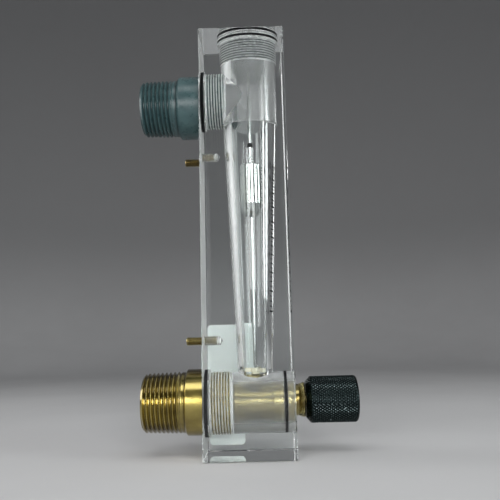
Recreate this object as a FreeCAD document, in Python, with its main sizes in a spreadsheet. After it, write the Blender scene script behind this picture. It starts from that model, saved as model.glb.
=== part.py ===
import FreeCAD, Part
import Sketcher
import math
import os

# Acrylic panel-mount rotameter with a built-in control valve.
# Frame: +Z up, the front face with scale and knob looks along -Y, the two
# pipe connections and the mounting studs are on the back face (+Y), X runs
# through the thickness. Origin: centre of the block's bottom face.
#
# Turned pieces are drawn in a half section: first number = radius, second
# number = distance along the turning axis.  For the pieces on the two
# horizontal axes that distance is counted from the block's mid-plane and
# grows towards the front (world -Y).

doc = FreeCAD.newDocument("Rotameter")
sheet = doc.addObject("Spreadsheet::Sheet", "Dimensions")

TABLE = [
    # block
    ("block_thickness", 50.0), ("block_depth", 48.0), ("block_height", 235.0),
    ("block_edge_break", 0.4),
    ("tube_forward", 3.6),            # tube axis in front of the mid-plane
    ("chamber_radius", 16.1), ("chamber_floor", 182.0),
    ("taper_top_radius", 15.4), ("taper_bottom_radius", 9.45), ("taper_bottom_level", 43.5),
    ("outlet_level", 197.5), ("inlet_level", 27.5),
    ("port_radius", 15.6), ("port_thread_radius", 16.1), ("port_thread_end", 10.0),
    ("recess_radius", 17.7), ("recess_depth", 3.0),
    ("valve_bore_radius", 16.1),
    # mounting studs, M5
    ("stud_radius", 2.5), ("stud_inner_radius", 2.3), ("stud_hole_radius", 2.35), ("stud_hole_depth", 9.1),
    ("stud_upper_level", 164.0), ("stud_spacing", 103.5),
    ("stud_outside", 10.5), ("stud_inside", 7.6), ("stud_chamfer", 0.5),
    # O-rings
    ("port_oring_section", 1.15), ("port_oring_radius", 16.5),
    # top plug
    ("plug_length", 17.4), ("plug_radius", 16.0), ("plug_lip_radius", 17.6),
    ("plug_lip_height", 0.7), ("plug_neck_radius", 15.3), ("plug_neck_height", 2.1),
    ("plug_recess_depth", 3.0), ("plug_socket_flats", 12.0), ("plug_socket_depth", 7.0),
    # fittings
    ("pipe_thread_radius", 16.6), ("pipe_thread_chamfer", 1.6), ("fitting_bore_radius", 11.0),
    ("fitting_inner_radius", 16.0), ("fitting_neck_radius", 15.25),
    ("outlet_end", 59.0), ("outlet_thread_end", 39.6), ("outlet_shank_radius", 18.2), ("outlet_shank_start", 36.6),
    ("inlet_end", 57.8), ("inlet_thread_end", 35.8), ("inlet_shank_radius", 17.8), ("inlet_shank_start", 33.6),
    ("inlet_inner_end", 8.9), ("spigot_hole_radius", 12.1), ("spigot_hole_end", 18.0),
    # valve barrel
    ("barrel_radius", 15.5), ("barrel_waist_radius", 14.3), ("barrel_rear", -7.9),
    ("waist_start", -4.9), ("waist_end", 11.6), ("land_chamfer", 1.2),
    ("barrel_groove_start", 18.0), ("barrel_groove_end", 20.6), ("barrel_groove_radius", 13.8),
    ("spigot_radius", 12.0), ("spigot_rear", -17.0), ("seat_bore_radius", 8.0),
    ("seat_lip_radius", 9.2), ("seat_level", -4.5), ("seat_lip_height", 0.9),
    ("cavity_radius", 11.5), ("cavity_end", 13.0), ("bonnet_hole_radius", 12.1),
    ("port_hole_radius", 4.75), ("port_hole_position", 2.4),
    # bonnet
    ("bonnet_radius", 12.0), ("bonnet_inner_end", 13.4), ("bonnet_neck_radius", 8.5),
    ("bonnet_flare_radius", 9.55), ("bonnet_outer_end", 30.0), ("bonnet_neck_start", 24.2),
    ("stem_thread_hole", 5.0), ("stem_thread_hole_end", 23.6), ("stem_hole", 4.05),
    ("bonnet_groove_start", 20.2), ("bonnet_groove_end", 22.4), ("bonnet_groove_radius", 10.3),
    ("bonnet_oring_section", 0.85), ("spanner_hole_radius", 1.25), ("spanner_hole_depth", 2.5),
    ("spanner_hole_pitch", 10.2),
    # stem, closed position
    ("stem_radius", 3.95), ("stem_thread_radius", 4.9), ("stem_thread_start", 6.0),
    ("stem_thread_end", 17.4), ("stem_collar_radius", 3.0), ("stem_head_radius", 4.0),
    ("stem_head_start", 1.2), ("stem_head_end", 3.2), ("stem_end", 54.0),
    # stem seals, seated in the bonnet's neck
    ("stem_seal_groove_radius", 5.25), ("stem_seal_groove_width", 1.4), ("stem_oring_section", 0.6),
    ("stem_oring_radius", 4.62), ("stem_oring_one", 26.1), ("stem_oring_two", 28.4),
    # disc and washer
    ("disc_radius", 9.0), ("washer_face", -4.42), ("washer_thickness", 2.4), ("disc_front", 4.6),
    ("disc_boss_radius", 6.2), ("disc_boss_start", 0.6), ("socket_radius", 4.1),
    ("socket_lip_radius", 3.1), ("socket_start", 1.0), ("socket_end", 3.4),
    ("washer_hole_radius", 2.6), ("screw_radius", 1.5), ("screw_head_radius", 2.9),
    ("screw_head_height", 1.5), ("screw_tip", 0.4),
    # knob
    ("knob_radius", 12.5), ("knob_inner_end", 30.4), ("knob_cone_radius", 9.8),
    ("knob_cone_end", 32.9), ("knob_outer_end", 58.5), ("knob_outer_chamfer", 0.9),
    ("knob_bore_radius", 4.0), ("knob_bore_end", 54.6), ("set_screw_position", 37.0),
    ("set_screw_radius", 2.0), ("set_screw_hole_radius", 2.05), ("set_screw_length", 7.6),
    ("set_screw_socket_flats", 2.0), ("set_screw_socket_depth", 2.0),
    # guide rod, float, stop ring, foot
    ("rod_radius", 1.6), ("rod_top", 227.0), ("rod_shoulder", 46.6), ("rod_pin_radius", 1.05),
    ("rod_pin_end", 42.6), ("rod_groove_radius", 1.25), ("stop_ring_level", 171.1),
    ("stop_ring_hole", 1.3), ("stop_ring_radius", 2.2), ("stop_ring_height", 2.1), ("rod_groove_width", 2.2),
    ("float_bottom", 129.6), ("float_length", 29.3), ("float_radius", 9.0), ("float_hole_radius", 1.9),
    ("float_shoulder", 6.6), ("float_cone_height", 2.5), ("float_cone_radius", 8.35),
    ("float_nose_radius", 4.2), ("float_edge_break", 0.6),
    ("foot_top", 45.2), ("foot_height", 3.2), ("foot_hub_radius", 3.3), ("foot_hole_radius", 1.1),
    ("foot_arm_width", 1.9), ("foot_arm_reach", 9.35),
    # labels and print
    ("label_thickness", 0.12), ("label_corner", 2.2),
    ("upper_label_width", 24.4), ("upper_label_height", 36.0), ("upper_label_top", 69.5), ("upper_label_from_back", 0.4),
    ("lower_label_width", 19.8), ("lower_label_height", 28.0), ("lower_label_bottom", 3.1), ("lower_label_from_back", 1.0),
]

for row, (alias, number) in enumerate(TABLE, start=1):
    sheet.set("A%d" % row, alias.replace("_", " "))
    sheet.set("B%d" % row, "%g" % number)
    sheet.setAlias("B%d" % row, alias)
doc.recompute()


class Dim:
    """A dimension: its present value and the expression that drives it."""

    def __init__(self, value, text):
        self.value = float(value)
        self.text = text

    def __add__(self, other):
        o = dim(other)
        return Dim(self.value + o.value, "(%s + %s)" % (self.text, o.text))

    def __sub__(self, other):
        o = dim(other)
        return Dim(self.value - o.value, "(%s - %s)" % (self.text, o.text))

    def __mul__(self, other):
        o = dim(other)
        return Dim(self.value * o.value, "(%s * %s)" % (self.text, o.text))

    def __truediv__(self, other):
        o = dim(other)
        return Dim(self.value / o.value, "(%s / %s)" % (self.text, o.text))

    def __neg__(self):
        return Dim(-self.value, "(-1 * %s)" % self.text)

    def __radd__(self, other):
        return dim(other) + self

    def __rsub__(self, other):
        return dim(other) - self

    def __rmul__(self, other):
        return dim(other) * self


def dim(x):
    if isinstance(x, Dim):
        return x
    return Dim(x, "%g" % x)


class Sizes:
    pass


S = Sizes()
for alias, number in TABLE:
    setattr(S, alias, Dim(number, "Dimensions.%s" % alias))

V = FreeCAD.Vector
parts = []


def origin_item(body, role):
    for item in body.Origin.OriginFeatures:
        if item.Role == role:
            return item
    raise RuntimeError("no " + role)


def new_body(label):
    body = doc.addObject("PartDesign::Body", label)
    body.Label = label
    parts.append(body)
    return body


def new_sketch(body, name, plane, shift=(0, 0, 0)):
    """Sketch on one of the body's own origin planes, shifted in the sketch's own axes."""
    sketch = body.newObject("Sketcher::SketchObject", name)
    sketch.AttachmentSupport = [(origin_item(body, plane), "")]
    sketch.MapMode = "FlatFace"
    shift = [dim(v) for v in shift]
    sketch.AttachmentOffset = FreeCAD.Placement(V(*[v.value for v in shift]), FreeCAD.Rotation())
    for axis, v in zip("xyz", shift):
        if v.value != 0 or "Dimensions" in v.text:
            sketch.setExpression(".AttachmentOffset.Base.%s" % axis, v.text)
    return sketch


def locate(sketch, geo, pos, x, y, tag):
    """Fix one point of the sketch at (x, y), each bound to its expression."""
    for kind, axis_geo, value, letter in (("DistanceX", -2, x, "x"), ("DistanceY", -1, y, "y")):
        if value.value == 0 and "Dimensions" not in value.text:
            sketch.addConstraint(Sketcher.Constraint("PointOnObject", geo, pos, axis_geo))
        else:
            index = sketch.addConstraint(Sketcher.Constraint(kind, -1, 1, geo, pos, value.value))
            name = "%s%s" % (letter, tag)
            sketch.renameConstraint(index, name)
            sketch.setExpression("Constraints.%s" % name, value.text)


def polygon(sketch, points, tag=""):
    points = [(dim(x), dim(y)) for x, y in points]
    first = sketch.GeometryCount
    count = len(points)
    for i in range(count):
        a, b = points[i], points[(i + 1) % count]
        sketch.addGeometry(Part.LineSegment(V(a[0].value, a[1].value, 0), V(b[0].value, b[1].value, 0)), False)
    for i in range(count):
        sketch.addConstraint(Sketcher.Constraint("Coincident", first + i, 2, first + (i + 1) % count, 1))
    for i, (x, y) in enumerate(points):
        locate(sketch, first + i, 1, x, y, "%s%d" % (tag, i))


def circle(sketch, x, y, radius, tag=""):
    x, y, radius = dim(x), dim(y), dim(radius)
    geo = sketch.addGeometry(Part.Circle(V(x.value, y.value, 0), V(0, 0, 1), radius.value), False)
    locate(sketch, geo, 3, x, y, "c%s" % tag)
    index = sketch.addConstraint(Sketcher.Constraint("Radius", geo, radius.value))
    sketch.renameConstraint(index, "radius%s" % tag)
    sketch.setExpression("Constraints.radius%s" % tag, radius.text)


def revolve(body, name, sketch, axis="V_Axis"):
    feature = body.newObject("PartDesign::Revolution", name)
    feature.Profile = sketch
    feature.ReferenceAxis = (sketch, [axis])
    feature.Angle = 360
    doc.recompute()
    return feature


def groove(body, name, sketch, axis="V_Axis"):
    before = body.Shape.Volume
    feature = body.newObject("PartDesign::Groove", name)
    feature.Profile = sketch
    feature.ReferenceAxis = (sketch, [axis])
    feature.Angle = 360
    doc.recompute()
    if body.Shape.Volume > before - 0.01:
        raise RuntimeError(body.Label + "." + name + " cut nothing")
    return feature


def pocket(body, name, sketch, length=None, through=False, reverse=False, symmetric=False):
    before = body.Shape.Volume
    feature = body.newObject("PartDesign::Pocket", name)
    feature.Profile = sketch
    if symmetric:
        feature.SideType = "Symmetric"
    feature.Reversed = reverse
    if through:
        feature.Type = "ThroughAll"
    else:
        feature.Type = "Length"
        feature.Length = dim(length).value
        feature.setExpression("Length", dim(length).text)
    doc.recompute()
    if body.Shape.Volume > before - 0.01:
        raise RuntimeError(body.Label + "." + name + " cut nothing")
    return feature


def pad(body, name, sketch, length, reverse=False, symmetric=False):
    feature = body.newObject("PartDesign::Pad", name)
    feature.Profile = sketch
    if symmetric:
        feature.SideType = "Symmetric"
    feature.Reversed = reverse
    feature.Length = dim(length).value
    feature.setExpression("Length", dim(length).text)
    doc.recompute()
    return feature


def place(body, x=0, y=0, z=0, rotation=None):
    values = [dim(v) for v in (x, y, z)]
    body.Placement = FreeCAD.Placement(V(*[v.value for v in values]), rotation or FreeCAD.Rotation())
    for axis, v in zip("xyz", values):
        if "Dimensions" in v.text:
            body.setExpression(".Placement.Base.%s" % axis, v.text)


# Turning axis of the horizontal pieces: local +Z becomes world -Y.
FACING_FRONT = FreeCAD.Rotation(V(1, 0, 0), 90)


def turned(label, points, level=None, upright=False, spin=0.0):
    """A turned piece from its half section [(radius, along)], on a horizontal
    axis at the given level, or upright on the tube's axis."""
    body = new_body(label)
    sketch = new_sketch(body, label + "_section", "XZ_Plane")
    polygon(sketch, points)
    revolve(body, label + "_turned", sketch)
    if upright:
        place(body, 0, -S.tube_forward, 0)
    else:
        place(body, 0, 0, level, FACING_FRONT * FreeCAD.Rotation(V(0, 0, 1), spin))
    return body


def ring(label, radius, along, section, level=None, upright=False, more=()):
    """An O-ring, or several equal ones, of round section."""
    body = new_body(label)
    sketch = new_sketch(body, label + "_section", "XZ_Plane")
    circle(sketch, radius, along, section, "a")
    revolve(body, label + "_turned", sketch)
    if upright:
        place(body, 0, -S.tube_forward, 0)
    else:
        place(body, 0, 0, level, FACING_FRONT)
    return body


half_depth = S.block_depth / 2

# ---------------------------------------------------------------- body block
block = new_body("body_block")
sk = new_sketch(block, "block_outline", "XY_Plane")
hx, hy = S.block_thickness / 2, S.block_depth / 2
polygon(sk, [(-hx, -hy), (hx, -hy), (hx, hy), (-hx, hy)])
block_pad = pad(block, "block_blank", sk, S.block_height)
edge_break = block.newObject("PartDesign::Chamfer", "polished_edge_break")
edge_break.Base = (block_pad, ["Edge%d" % (i + 1) for i in range(len(block_pad.Shape.Edges))])
edge_break.Size = S.block_edge_break.value
edge_break.setExpression("Size", S.block_edge_break.text)
doc.recompute()

# upright bore: O-ring recess, chamber, shoulder, polished taper down into the valve bore
taper_rate = (S.taper_top_radius - S.taper_bottom_radius) / (S.chamber_floor - S.taper_bottom_level)
taper_exit_level = S.inlet_level + 4
taper_exit_radius = S.taper_bottom_radius - taper_rate * (S.taper_bottom_level - taper_exit_level)
sk = new_sketch(block, "upright_bore_section", "YZ_Plane", (-S.tube_forward, 0, 0))
polygon(sk, [
    (0, S.block_height + 1), (S.recess_radius, S.block_height + 1),
    (S.recess_radius, S.block_height - S.plug_recess_depth),
    (S.chamber_radius, S.block_height - S.plug_recess_depth),
    (S.chamber_radius, S.chamber_floor), (S.taper_top_radius, S.chamber_floor),
    (taper_exit_radius, taper_exit_level), (0, taper_exit_level)])
groove(block, "upright_bore", sk)

# outlet port from the back face into the chamber
sk = new_sketch(block, "outlet_port_section", "YZ_Plane", (0, S.outlet_level, 0))
polygon(sk, [
    (half_depth + 1, 0), (half_depth + 1, S.recess_radius),
    (half_depth - S.recess_depth, S.recess_radius), (half_depth - S.recess_depth, S.port_thread_radius),
    (S.port_thread_end - 1, S.port_thread_radius), (S.port_thread_end - 1, S.port_radius),
    (-S.tube_forward, S.port_radius), (-S.tube_forward, 0)])
groove(block, "outlet_port", sk, "H_Axis")

# valve bore, right through from back to front
sk = new_sketch(block, "valve_bore_section", "YZ_Plane", (0, S.inlet_level, 0))
polygon(sk, [
    (half_depth + 1, 0), (half_depth + 1, S.recess_radius),
    (half_depth - S.recess_depth, S.recess_radius), (half_depth - S.recess_depth, S.valve_bore_radius),
    (-half_depth - 1, S.valve_bore_radius), (-half_depth - 1, 0)])
groove(block, "valve_bore", sk, "H_Axis")

# tapped holes of the two mounting studs, with the drill's cone
stud_lower_level = S.stud_upper_level - S.stud_spacing
for name, level in (("upper_stud_hole", S.stud_upper_level), ("lower_stud_hole", stud_lower_level)):
    sk = new_sketch(block, name + "_section", "YZ_Plane", (0, level, 0))
    polygon(sk, [
        (half_depth + 1, 0), (half_depth + 1, S.stud_hole_radius),
        (half_depth - S.stud_hole_depth, S.stud_hole_radius),
        (half_depth - S.stud_hole_depth - 1.2, 0)])
    groove(block, name, sk, "H_Axis")

# ---------------------------------------------------------------- top plug
top = S.block_height
plug_bottom = top - S.plug_length
plug = turned("top_plug", [
    (0, plug_bottom), (S.plug_radius - 0.8, plug_bottom), (S.plug_radius, plug_bottom + 0.8),
    (S.plug_radius, top - S.plug_lip_height - S.plug_neck_height - 0.3),
    (S.plug_neck_radius, top - S.plug_lip_height - S.plug_neck_height),
    (S.plug_neck_radius, top - S.plug_lip_height), (S.plug_lip_radius, top - S.plug_lip_height),
    (S.plug_lip_radius, top - 0.2), (S.plug_lip_radius - 0.2, top), (0, top)], upright=True)
sk = new_sketch(plug, "plug_socket_outline", "XY_Plane", (0, 0, top))
corner = S.plug_socket_flats / math.sqrt(3)
polygon(sk, [(corner * math.cos(math.radians(a)), corner * math.sin(math.radians(a))) for a in (10, 70, 130, 190, 250, 310)])
pocket(plug, "plug_socket", sk, S.plug_socket_depth)
sk = new_sketch(plug, "rod_hole_section", "XZ_Plane")
polygon(sk, [(0, plug_bottom - 1), (S.rod_radius + 0.05, plug_bottom - 1), (S.rod_radius + 0.05, S.rod_top + 0.2), (0, S.rod_top + 0.9)])
groove(plug, "rod_hole", sk)
ring("top_plug_oring", S.port_oring_radius + 0.03, top - S.plug_lip_height - 1.13, 1.1, upright=True)

# ---------------------------------------------------------------- outlet fitting
recess_floor = -(half_depth - S.recess_depth)
turned("outlet_fitting", [
    (S.fitting_bore_radius, -S.outlet_end), (S.pipe_thread_radius - S.pipe_thread_chamfer, -S.outlet_end),
    (S.pipe_thread_radius, -S.outlet_end + S.pipe_thread_chamfer), (S.pipe_thread_radius, -S.outlet_thread_end),
    (S.pipe_thread_radius - 0.3, -S.outlet_thread_end + 0.4), (S.pipe_thread_radius - 0.3, -S.outlet_shank_start - 1.7),
    (S.outlet_shank_radius, -S.outlet_shank_start), (S.outlet_shank_radius, -half_depth - 0.02),
    (S.fitting_neck_radius, -half_depth - 0.02), (S.fitting_neck_radius, recess_floor + 0.3),
    (S.fitting_inner_radius, recess_floor + 0.8), (S.fitting_inner_radius, -S.port_thread_end - 0.8),
    (S.fitting_inner_radius - 0.8, -S.port_thread_end), (S.fitting_bore_radius, -S.port_thread_end)],
    S.outlet_level)
ring("outlet_oring", S.port_oring_radius - 0.02, -half_depth + 1.25, S.port_oring_section, S.outlet_level)

# ---------------------------------------------------------------- inlet fitting
turned("inlet_fitting", [
    (S.fitting_bore_radius, -S.inlet_end), (S.pipe_thread_radius - S.pipe_thread_chamfer, -S.inlet_end),
    (S.pipe_thread_radius, -S.inlet_end + S.pipe_thread_chamfer), (S.pipe_thread_radius, -S.inlet_thread_end),
    (S.pipe_thread_radius - 0.3, -S.inlet_thread_end + 0.3), (S.pipe_thread_radius - 0.3, -S.inlet_shank_start - 1.3),
    (S.inlet_shank_radius, -S.inlet_shank_start), (S.inlet_shank_radius, -half_depth - 0.02),
    (S.fitting_neck_radius, -half_depth - 0.02), (S.fitting_neck_radius, recess_floor + 0.3),
    (S.fitting_inner_radius, recess_floor + 0.8), (S.fitting_inner_radius, -S.inlet_inner_end - 0.8),
    (S.fitting_inner_radius - 0.8, -S.inlet_inner_end), (S.spigot_hole_radius, -S.inlet_inner_end),
    (S.spigot_hole_radius, -S.spigot_hole_end), (S.fitting_bore_radius, -S.spigot_hole_end)],
    S.inlet_level)
ring("inlet_oring", S.port_oring_radius - 0.02, -half_depth + 1.25, S.port_oring_section, S.inlet_level)

# ---------------------------------------------------------------- valve barrel
front = half_depth
barrel = turned("valve_body", [
    (S.seat_bore_radius, S.spigot_rear), (S.spigot_radius - 0.7, S.spigot_rear), (S.spigot_radius, S.spigot_rear + 0.7),
    (S.spigot_radius, S.barrel_rear), (S.barrel_radius - 0.4, S.barrel_rear), (S.barrel_radius, S.barrel_rear + 0.4),
    (S.barrel_radius, S.waist_start - S.land_chamfer), (S.barrel_waist_radius, S.waist_start),
    (S.barrel_waist_radius, S.waist_end), (S.barrel_radius, S.waist_end + S.land_chamfer),
    (S.barrel_radius, S.barrel_groove_start), (S.barrel_groove_radius, S.barrel_groove_start),
    (S.barrel_groove_radius, S.barrel_groove_end), (S.barrel_radius, S.barrel_groove_end),
    (S.barrel_radius, front - 0.3), (S.barrel_radius - 0.3, front), (S.bonnet_hole_radius, front),
    (S.bonnet_hole_radius, S.cavity_end), (S.cavity_radius, S.cavity_end),
    (S.cavity_radius, S.seat_level - S.seat_lip_height), (S.seat_lip_radius, S.seat_level - S.seat_lip_height),
    (S.seat_lip_radius - 0.35, S.seat_level), (S.seat_bore_radius, S.seat_level)],
    S.inlet_level, spin=45.0)
sk = new_sketch(barrel, "port_hole_outline", "XZ_Plane")
circle(sk, 0, S.port_hole_position, S.port_hole_radius)
port_holes = pocket(barrel, "port_holes", sk, through=True, symmetric=True)
port_pattern = barrel.newObject("PartDesign::PolarPattern", "port_hole_pattern")
port_pattern.Originals = [port_holes]
port_pattern.Axis = (origin_item(barrel, "Z_Axis"), [""])
port_pattern.Angle = 90
port_pattern.Occurrences = 2
barrel.Tip = port_pattern
doc.recompute()
ring("valve_body_oring", S.valve_bore_radius - 1.15, (S.barrel_groove_start + S.barrel_groove_end) / 2, 1.1, S.inlet_level)

# ---------------------------------------------------------------- bonnet
g = S.stem_seal_groove_width / 2
bonnet = turned("valve_bonnet", [
    (S.stem_thread_hole, S.bonnet_inner_end), (S.bonnet_radius - 0.6, S.bonnet_inner_end),
    (S.bonnet_radius, S.bonnet_inner_end + 0.6), (S.bonnet_radius, S.bonnet_groove_start),
    (S.bonnet_groove_radius, S.bonnet_groove_start), (S.bonnet_groove_radius, S.bonnet_groove_end),
    (S.bonnet_radius, S.bonnet_groove_end), (S.bonnet_radius, front - 0.1), (S.bonnet_radius - 0.2, front + 0.1),
    (S.bonnet_neck_radius + 0.3, front + 0.1), (S.bonnet_neck_radius, front + 0.4),
    (S.bonnet_neck_radius, front + 2.6), (S.bonnet_flare_radius, S.bonnet_outer_end - 0.5),
    (S.bonnet_flare_radius - 0.3, S.bonnet_outer_end), (S.stem_hole, S.bonnet_outer_end),
    (S.stem_hole, S.stem_oring_two + g), (S.stem_seal_groove_radius, S.stem_oring_two + g),
    (S.stem_seal_groove_radius, S.stem_oring_two - g), (S.stem_hole, S.stem_oring_two - g),
    (S.stem_hole, S.stem_oring_one + g), (S.stem_seal_groove_radius, S.stem_oring_one + g),
    (S.stem_seal_groove_radius, S.stem_oring_one - g), (S.stem_hole, S.stem_oring_one - g),
    (S.stem_hole, S.stem_thread_hole_end + 0.95), (S.stem_thread_hole, S.stem_thread_hole_end)],
    S.inlet_level)
sk = new_sketch(bonnet, "spanner_hole_outline", "XY_Plane", (0, 0, front + 0.1))
circle(sk, S.spanner_hole_pitch, 0, S.spanner_hole_radius, "a")
circle(sk, -S.spanner_hole_pitch, 0, S.spanner_hole_radius, "b")
pocket(bonnet, "spanner_holes", sk, 1.6)
ring("bonnet_oring", S.bonnet_hole_radius - 0.9, (S.bonnet_groove_start + S.bonnet_groove_end) / 2, S.bonnet_oring_section, S.inlet_level)

# ---------------------------------------------------------------- stem, in the closed position
turned("valve_stem", [
    (0, S.stem_head_start), (S.stem_head_radius, S.stem_head_start), (S.stem_head_radius, S.stem_head_end),
    (S.stem_collar_radius, S.stem_head_end), (S.stem_collar_radius, S.stem_thread_start),
    (S.stem_thread_radius - 0.6, S.stem_thread_start), (S.stem_thread_radius, S.stem_thread_start + 0.6),
    (S.stem_thread_radius, S.stem_thread_end - 0.95), (S.stem_radius, S.stem_thread_end),
    (S.stem_radius, S.stem_end - 0.5), (S.stem_radius - 0.5, S.stem_end), (0, S.stem_end)],
    S.inlet_level)
ring("stem_oring_inner", S.stem_oring_radius, S.stem_oring_one, S.stem_oring_section, S.inlet_level)
ring("stem_oring_outer", S.stem_oring_radius, S.stem_oring_two, S.stem_oring_section, S.inlet_level)

# ---------------------------------------------------------------- disc, washer and its screw
disc_back = S.washer_face + S.washer_thickness
turned("valve_disc", [
    (S.screw_radius + 0.05, disc_back + 0.02), (S.disc_radius, disc_back + 0.02), (S.disc_radius, S.disc_boss_start - 0.4),
    (S.disc_radius - 0.4, S.disc_boss_start), (S.disc_boss_radius, S.disc_boss_start),
    (S.disc_boss_radius, S.disc_front - 0.5), (S.disc_boss_radius - 0.5, S.disc_front),
    (S.socket_lip_radius, S.disc_front), (S.socket_lip_radius, S.socket_end), (S.socket_radius, S.socket_end),
    (S.socket_radius, S.socket_start), (S.screw_radius + 0.05, S.socket_start)],
    S.inlet_level)
turned("seat_washer", [
    (S.washer_hole_radius - 0.9, S.washer_face), (S.disc_radius + 0.4, S.washer_face),
    (S.disc_radius + 0.4, disc_back), (S.washer_hole_radius - 0.9, disc_back)],
    S.inlet_level)
turned("washer_screw", [
    (0, S.washer_face - 0.05), (S.screw_radius, S.washer_face - 0.05), (S.screw_radius, S.screw_tip),
    (0, S.screw_tip)], S.inlet_level)
washer_screw = parts[-1]
sk = new_sketch(washer_screw, "screw_head_section", "XZ_Plane")
polygon(sk, [
    (0, S.washer_face - 0.04 - S.screw_head_height), (S.screw_head_radius - 0.4, S.washer_face - 0.04 - S.screw_head_height),
    (S.screw_head_radius, S.washer_face - 0.44 - S.screw_head_height / 2), (S.screw_head_radius, S.washer_face - 0.04),
    (0, S.washer_face - 0.04)])
revolve(washer_screw, "screw_head", sk)
sk = new_sketch(washer_screw, "screw_slot_outline", "XY_Plane", (0, 0, S.washer_face - 0.04 - S.screw_head_height))
polygon(sk, [(-4, -0.4), (4, -0.4), (4, 0.4), (-4, 0.4)])
pocket(washer_screw, "screw_slot", sk, 0.7, reverse=True)

# ---------------------------------------------------------------- knob
knob = turned("control_knob", [
    (S.knob_bore_radius, S.knob_inner_end), (S.knob_cone_radius, S.knob_inner_end), (S.knob_radius, S.knob_cone_end),
    (S.knob_radius, S.knob_outer_end - S.knob_outer_chamfer), (S.knob_radius - S.knob_outer_chamfer, S.knob_outer_end),
    (0, S.knob_outer_end), (0, S.knob_bore_end), (S.knob_bore_radius, S.knob_bore_end)],
    S.inlet_level)
sk = new_sketch(knob, "set_screw_hole_outline", "XZ_Plane")
circle(sk, 0, S.set_screw_position, S.set_screw_hole_radius)
pocket(knob, "set_screw_hole", sk, through=True, reverse=True)
screw = new_body("knob_set_screw")
sk = new_sketch(screw, "set_screw_section", "XZ_Plane")
polygon(sk, [
    (0, S.stem_radius + 0.02), (S.set_screw_radius - 0.6, S.stem_radius + 0.02), (S.set_screw_radius, S.stem_radius + 0.62),
    (S.set_screw_radius, S.stem_radius + S.set_screw_length - 0.3), (S.set_screw_radius - 0.3, S.stem_radius + S.set_screw_length),
    (0, S.stem_radius + S.set_screw_length)])
revolve(screw, "set_screw_blank", sk)
sk = new_sketch(screw, "set_screw_socket_outline", "XY_Plane", (0, 0, S.stem_radius + S.set_screw_length))
corner = S.set_screw_socket_flats / math.sqrt(3)
polygon(sk, [(corner * math.cos(math.radians(a)), corner * math.sin(math.radians(a))) for a in (0, 60, 120, 180, 240, 300)])
pocket(screw, "set_screw_socket", sk, S.set_screw_socket_depth)

# ---------------------------------------------------------------- guide rod and what is on it
w = S.rod_groove_width / 2
turned("guide_rod", [
    (0, S.rod_pin_end), (S.rod_pin_radius - 0.3, S.rod_pin_end), (S.rod_pin_radius, S.rod_pin_end + 0.3),
    (S.rod_pin_radius, S.rod_shoulder), (S.rod_radius - 0.2, S.rod_shoulder), (S.rod_radius, S.rod_shoulder + 0.2),
    (S.rod_radius, S.stop_ring_level - w), (S.rod_groove_radius, S.stop_ring_level - w),
    (S.rod_groove_radius, S.stop_ring_level + w), (S.rod_radius, S.stop_ring_level + w),
    (S.rod_radius, S.rod_top - 0.4), (S.rod_radius - 0.4, S.rod_top), (0, S.rod_top)], upright=True)
k = S.stop_ring_height / 2
turned("float_stop_ring", [
    (S.stop_ring_hole, S.stop_ring_level - k), (S.stop_ring_radius - 0.3, S.stop_ring_level - k),
    (S.stop_ring_radius, S.stop_ring_level - k + 0.3), (S.stop_ring_radius, S.stop_ring_level + k - 0.3),
    (S.stop_ring_radius - 0.3, S.stop_ring_level + k), (S.stop_ring_hole, S.stop_ring_level + k)], upright=True)

fb, fl = S.float_bottom, S.float_length
turned("float", [
    (S.float_hole_radius, fb), (S.float_nose_radius, fb), (S.float_nose_radius + 2.05, fb + 0.75),
    (S.float_nose_radius + 3.3, fb + 1.95), (S.float_cone_radius - 0.25, fb + 3.1),
    (S.float_cone_radius, fb + S.float_shoulder - S.float_cone_height),
    (S.float_radius, fb + S.float_shoulder), (S.float_radius, fb + fl - S.float_edge_break),
    (S.float_radius - S.float_edge_break, fb + fl), (S.float_hole_radius, fb + fl)], upright=True)

foot = new_body("rod_foot")
sk = new_sketch(foot, "foot_hub_outline", "XY_Plane", (0, 0, S.foot_top - S.foot_height))
circle(sk, 0, 0, S.foot_hub_radius)
pad(foot, "foot_hub", sk, S.foot_height)
sk = new_sketch(foot, "foot_arm_outline", "XY_Plane", (0, 0, S.foot_top - S.foot_height + 1.1))
aw = S.foot_arm_width / 2
polygon(sk, [(-aw, 0), (aw, 0), (aw, S.foot_arm_reach), (-aw, S.foot_arm_reach)])
arm = pad(foot, "foot_arm", sk, S.foot_height - 1.1)
arms = foot.newObject("PartDesign::PolarPattern", "foot_arms")
arms.Originals = [arm]
arms.Axis = (origin_item(foot, "Z_Axis"), [""])
arms.Angle = 360
arms.Occurrences = 3
foot.Tip = arms
doc.recompute()
sk = new_sketch(foot, "pin_hole_outline", "XY_Plane", (0, 0, S.foot_top))
circle(sk, 0, 0, S.foot_hole_radius)
pocket(foot, "pin_hole", sk, through=True)
place(foot, 0, -S.tube_forward, 0)

# ---------------------------------------------------------------- mounting studs
for label, level in (("mounting_stud_upper", S.stud_upper_level), ("mounting_stud_lower", stud_lower_level)):
    turned(label, [
        (0, -half_depth - S.stud_outside), (S.stud_radius - S.stud_chamfer, -half_depth - S.stud_outside),
        (S.stud_radius, -half_depth - S.stud_outside + S.stud_chamfer), (S.stud_radius, -half_depth - 0.02),
        (S.stud_inner_radius, -half_depth - 0.02), (S.stud_inner_radius, -half_depth + S.stud_inside - S.stud_chamfer),
        (S.stud_inner_radius - S.stud_chamfer, -half_depth + S.stud_inside), (0, -half_depth + S.stud_inside)],
        level)

# ---------------------------------------------------------------- stickers on the +X side face


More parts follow.
